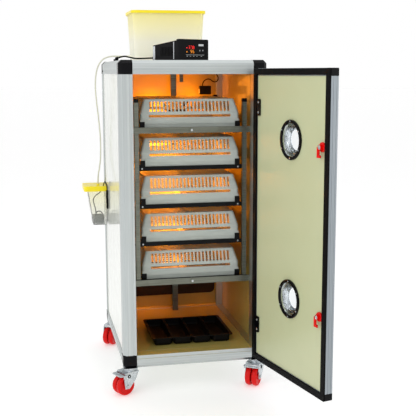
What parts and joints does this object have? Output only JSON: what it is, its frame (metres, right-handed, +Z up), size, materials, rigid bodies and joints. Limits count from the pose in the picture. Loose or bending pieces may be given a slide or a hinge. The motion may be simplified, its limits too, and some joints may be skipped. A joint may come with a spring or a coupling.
{
  "type": "egg incubator",
  "caption": "Cabinet egg incubator on casters with tilting slotted egg baskets, hinged windowed door, water tank and controller on top.",
  "frame": {"origin": "on the floor, under the middle of the whole object's box with the door standing open", "axes": "+Z up, the front with the door faces -Y, +X to the right seen from the front"},
  "size_m": [0.735, 1.2202, 1.4415],
  "materials": {
    "anodised_aluminium": "satin anodised",
    "corner_black": "gloss moulded",
    "panel_white": "gloss laminate skin",
    "rack_steel": "zinc plated, brushed",
    "zinc_steel": "bright zinc plated",
    "motor_grey": "satin enamel",
    "baffle_dark": "satin enamel",
    "fan_black": "moulded",
    "lamp_glass": "clear, lit",
    "matt_black": "moulded",
    "pan_black": "moulded",
    "door_cream": "gloss laminate skin",
    "seal_rubber": "extruded",
    "clear_plastic": "clear moulded",
    "tank_translucent": "translucent moulded",
    "reservoir_translucent": "translucent moulded",
    "lid_yellow": "moulded",
    "controller_black": "fine texture enamel",
    "controller_front": "gloss moulded",
    "key_grey": "soft touch",
    "pump_grey": "moulded",
    "cable_black": "smooth sheath",
    "tube_clear": "milky silicone",
    "latch_red": "gloss moulded",
    "carrier_black": "satin enamel",
    "basket_plastic": "moulded",
    "wheel_red": "polyurethane"
  },
  "bodies": {
    "cabinet": {"frame_profiles": "anodised_aluminium", "frame_corners": "corner_black", "cabinet_panels": "panel_white", "rear_panel": "panel_white", "turner_stand": "rack_steel", "turner_pivots": "zinc_steel", "turner_motor": "motor_grey", "air_baffle": "baffle_dark", "fan_motor": "motor_grey", "heater_lamp": "lamp_glass", "sensor_box": "matt_black", "humidity_pan": "pan_black", "hinge_blocks": "corner_black", "caster_plates": "zinc_steel", "water_tank": "tank_translucent", "controller_case": "controller_black", "controller_front": "controller_front", "reservoir": "reservoir_translucent", "reservoir_lid": "lid_yellow", "pump": "pump_grey", "cable_glands": "seal_rubber", "controller_cable": "cable_black", "feed_tube": "tube_clear", "pump_cable": "cable_black", "sensor_cable": "cable_black"},
    "door": {"door_frame": "anodised_aluminium", "door_corners": "corner_black", "door_panel": "door_cream", "door_gasket": "seal_rubber", "window_bezels": "corner_black", "window_panes": "clear_plastic", "hinge_leaves": "corner_black"},
    "upper_latch": {"upper_latch": "latch_red"},
    "lower_latch": {"lower_latch": "latch_red"},
    "tank_lid": {"tank_lid": "lid_yellow"},
    "fan": {"fan_impeller": "fan_black"},
    "key_1": {"controller_key_1": "key_grey"},
    "key_2": {"controller_key_2": "key_grey"},
    "upright_left": {"turner_upright_left": "rack_steel"},
    "upright_right": {"turner_upright_right": "rack_steel"},
    "tray_1": {"tray_carrier_1": "carrier_black", "egg_basket_1": "basket_plastic"},
    "tray_2": {"tray_carrier_2": "carrier_black", "egg_basket_2": "basket_plastic"},
    "tray_3": {"tray_carrier_3": "carrier_black", "egg_basket_3": "basket_plastic"},
    "tray_4": {"tray_carrier_4": "carrier_black", "egg_basket_4": "basket_plastic"},
    "tray_5": {"tray_carrier_5": "carrier_black", "egg_basket_5": "basket_plastic"},
    "fork_front_left": {"caster_fork_front_left": "zinc_steel"},
    "wheels_front_left": {"caster_wheels_front_left": "wheel_red"},
    "brake_front_left": {"caster_brake_front_left": "zinc_steel"},
    "fork_front_right": {"caster_fork_front_right": "zinc_steel"},
    "wheels_front_right": {"caster_wheels_front_right": "wheel_red"},
    "brake_front_right": {"caster_brake_front_right": "zinc_steel"},
    "fork_rear_left": {"caster_fork_rear_left": "zinc_steel"},
    "wheels_rear_left": {"caster_wheels_rear_left": "wheel_red"},
    "fork_rear_right": {"caster_fork_rear_right": "zinc_steel"},
    "wheels_rear_right": {"caster_wheels_rear_right": "wheel_red"}
  },
  "joints": [
    {"name": "door_hinge", "type": "hinge", "parent": "cabinet", "child": "door", "pos_m": [0.2485, -0.1167, 0.67], "axis": [0, 0, 1], "range_deg": [-103, 47]},
    {"name": "upper_latch_turn", "type": "hinge", "parent": "door", "child": "upper_latch", "pos_m": [0.31765, -0.57181, 0.962], "axis": [-0.9744, -0.225, 0], "range_deg": [0, 90]},
    {"name": "lower_latch_turn", "type": "hinge", "parent": "door", "child": "lower_latch", "pos_m": [0.31765, -0.57181, 0.408], "axis": [-0.9744, -0.225, 0], "range_deg": [0, 90]},
    {"name": "tray_tilt", "type": "hinge", "parent": "cabinet", "child": "tray_1", "pos_m": [0.0005, 0.2653, 0.986], "axis": [0, 1, 0], "range_deg": [-30, 30]},
    {"name": "tray_2_tilt", "type": "hinge", "parent": "cabinet", "child": "tray_2", "pos_m": [0.0005, 0.2653, 0.843], "axis": [0, 1, 0], "range_deg": [-30, 30]},
    {"name": "tray_3_tilt", "type": "hinge", "parent": "cabinet", "child": "tray_3", "pos_m": [0.0005, 0.2653, 0.7], "axis": [0, 1, 0], "range_deg": [-30, 30]},
    {"name": "tray_4_tilt", "type": "hinge", "parent": "cabinet", "child": "tray_4", "pos_m": [0.0005, 0.2653, 0.557], "axis": [0, 1, 0], "range_deg": [-30, 30]},
    {"name": "tray_5_tilt", "type": "hinge", "parent": "cabinet", "child": "tray_5", "pos_m": [0.0005, 0.2653, 0.414], "axis": [0, 1, 0], "range_deg": [-30, 30]},
    {"name": "upright_left_pivot", "type": "hinge", "parent": "tray_1", "child": "upright_left", "pos_m": [-0.2035, 0.2653, 0.986], "axis": [0, 1, 0], "range_deg": [-30, 30]},
    {"name": "upright_right_pivot", "type": "hinge", "parent": "tray_1", "child": "upright_right", "pos_m": [0.2045, 0.2653, 0.986], "axis": [0, 1, 0], "range_deg": [-30, 30]},
    {"name": "fan_spin", "type": "hinge", "parent": "cabinet", "child": "fan", "pos_m": [0.0605, 0.5433, 1.005], "axis": [0, 1, 0], "continuous": true},
    {"name": "tank_lid_lift", "type": "slide", "parent": "cabinet", "child": "tank_lid", "axis": [0, 0, 1], "range_m": [0, 0.06]},
    {"name": "key_1_press", "type": "slide", "parent": "cabinet", "child": "key_1", "axis": [-0.5, 0.866, 0], "range_m": [0, 0.0008], "stiffness_N_per_m": 600},
    {"name": "key_2_press", "type": "slide", "parent": "cabinet", "child": "key_2", "axis": [-0.5, 0.866, 0], "range_m": [0, 0.0008], "stiffness_N_per_m": 600},
    {"name": "swivel_front_left", "type": "hinge", "parent": "cabinet", "child": "fork_front_left", "pos_m": [-0.245, -0.0477, 0.09], "axis": [0, 0, 1], "continuous": true},
    {"name": "roll_front_left", "type": "hinge", "parent": "fork_front_left", "child": "wheels_front_left", "pos_m": [-0.27325, -0.06273, 0.0375], "axis": [0.4695, -0.8829, 0], "continuous": true},
    {"name": "brake_press_front_left", "type": "hinge", "parent": "fork_front_left", "child": "brake_front_left", "pos_m": [-0.26795, -0.05991, 0.075], "axis": [0.4695, -0.8829, 0], "range_deg": [0, 10]},
    {"name": "swivel_front_right", "type": "hinge", "parent": "cabinet", "child": "fork_front_right", "pos_m": [0.246, -0.0477, 0.09], "axis": [0, 0, 1], "continuous": true},
    {"name": "roll_front_right", "type": "hinge", "parent": "fork_front_right", "child": "wheels_front_right", "pos_m": [0.22811, -0.07423, 0.0375], "axis": [0.829, -0.5592, 0], "continuous": true},
    {"name": "brake_press_front_right", "type": "hinge", "parent": "fork_front_right", "child": "brake_front_right", "pos_m": [0.23147, -0.06926, 0.075], "axis": [0.829, -0.5592, 0], "range_deg": [0, 10]},
    {"name": "swivel_rear_left", "type": "hinge", "parent": "cabinet", "child": "fork_rear_left", "pos_m": [-0.245, 0.5783, 0.09], "axis": [0, 0, 1], "continuous": true},
    {"name": "roll_rear_left", "type": "hinge", "parent": "fork_rear_left", "child": "wheels_rear_left", "pos_m": [-0.261, 0.55058, 0.0375], "axis": [0.866, -0.5, 0], "continuous": true},
    {"name": "swivel_rear_right", "type": "hinge", "parent": "cabinet", "child": "fork_rear_right", "pos_m": [0.246, 0.5783, 0.09], "axis": [0, 0, 1], "continuous": true},
    {"name": "roll_rear_right", "type": "hinge", "parent": "fork_rear_right", "child": "wheels_rear_right", "pos_m": [0.23, 0.55058, 0.0375], "axis": [0.866, -0.5, 0], "continuous": true}
  ],
  "couplings": [
    {"joint": "tray_2_tilt", "follows": "tray_tilt", "ratio": 1},
    {"joint": "tray_3_tilt", "follows": "tray_tilt", "ratio": 1},
    {"joint": "tray_4_tilt", "follows": "tray_tilt", "ratio": 1},
    {"joint": "tray_5_tilt", "follows": "tray_tilt", "ratio": 1},
    {"joint": "upright_left_pivot", "follows": "tray_tilt", "ratio": -1},
    {"joint": "upright_right_pivot", "follows": "tray_tilt", "ratio": -1}
  ]
}
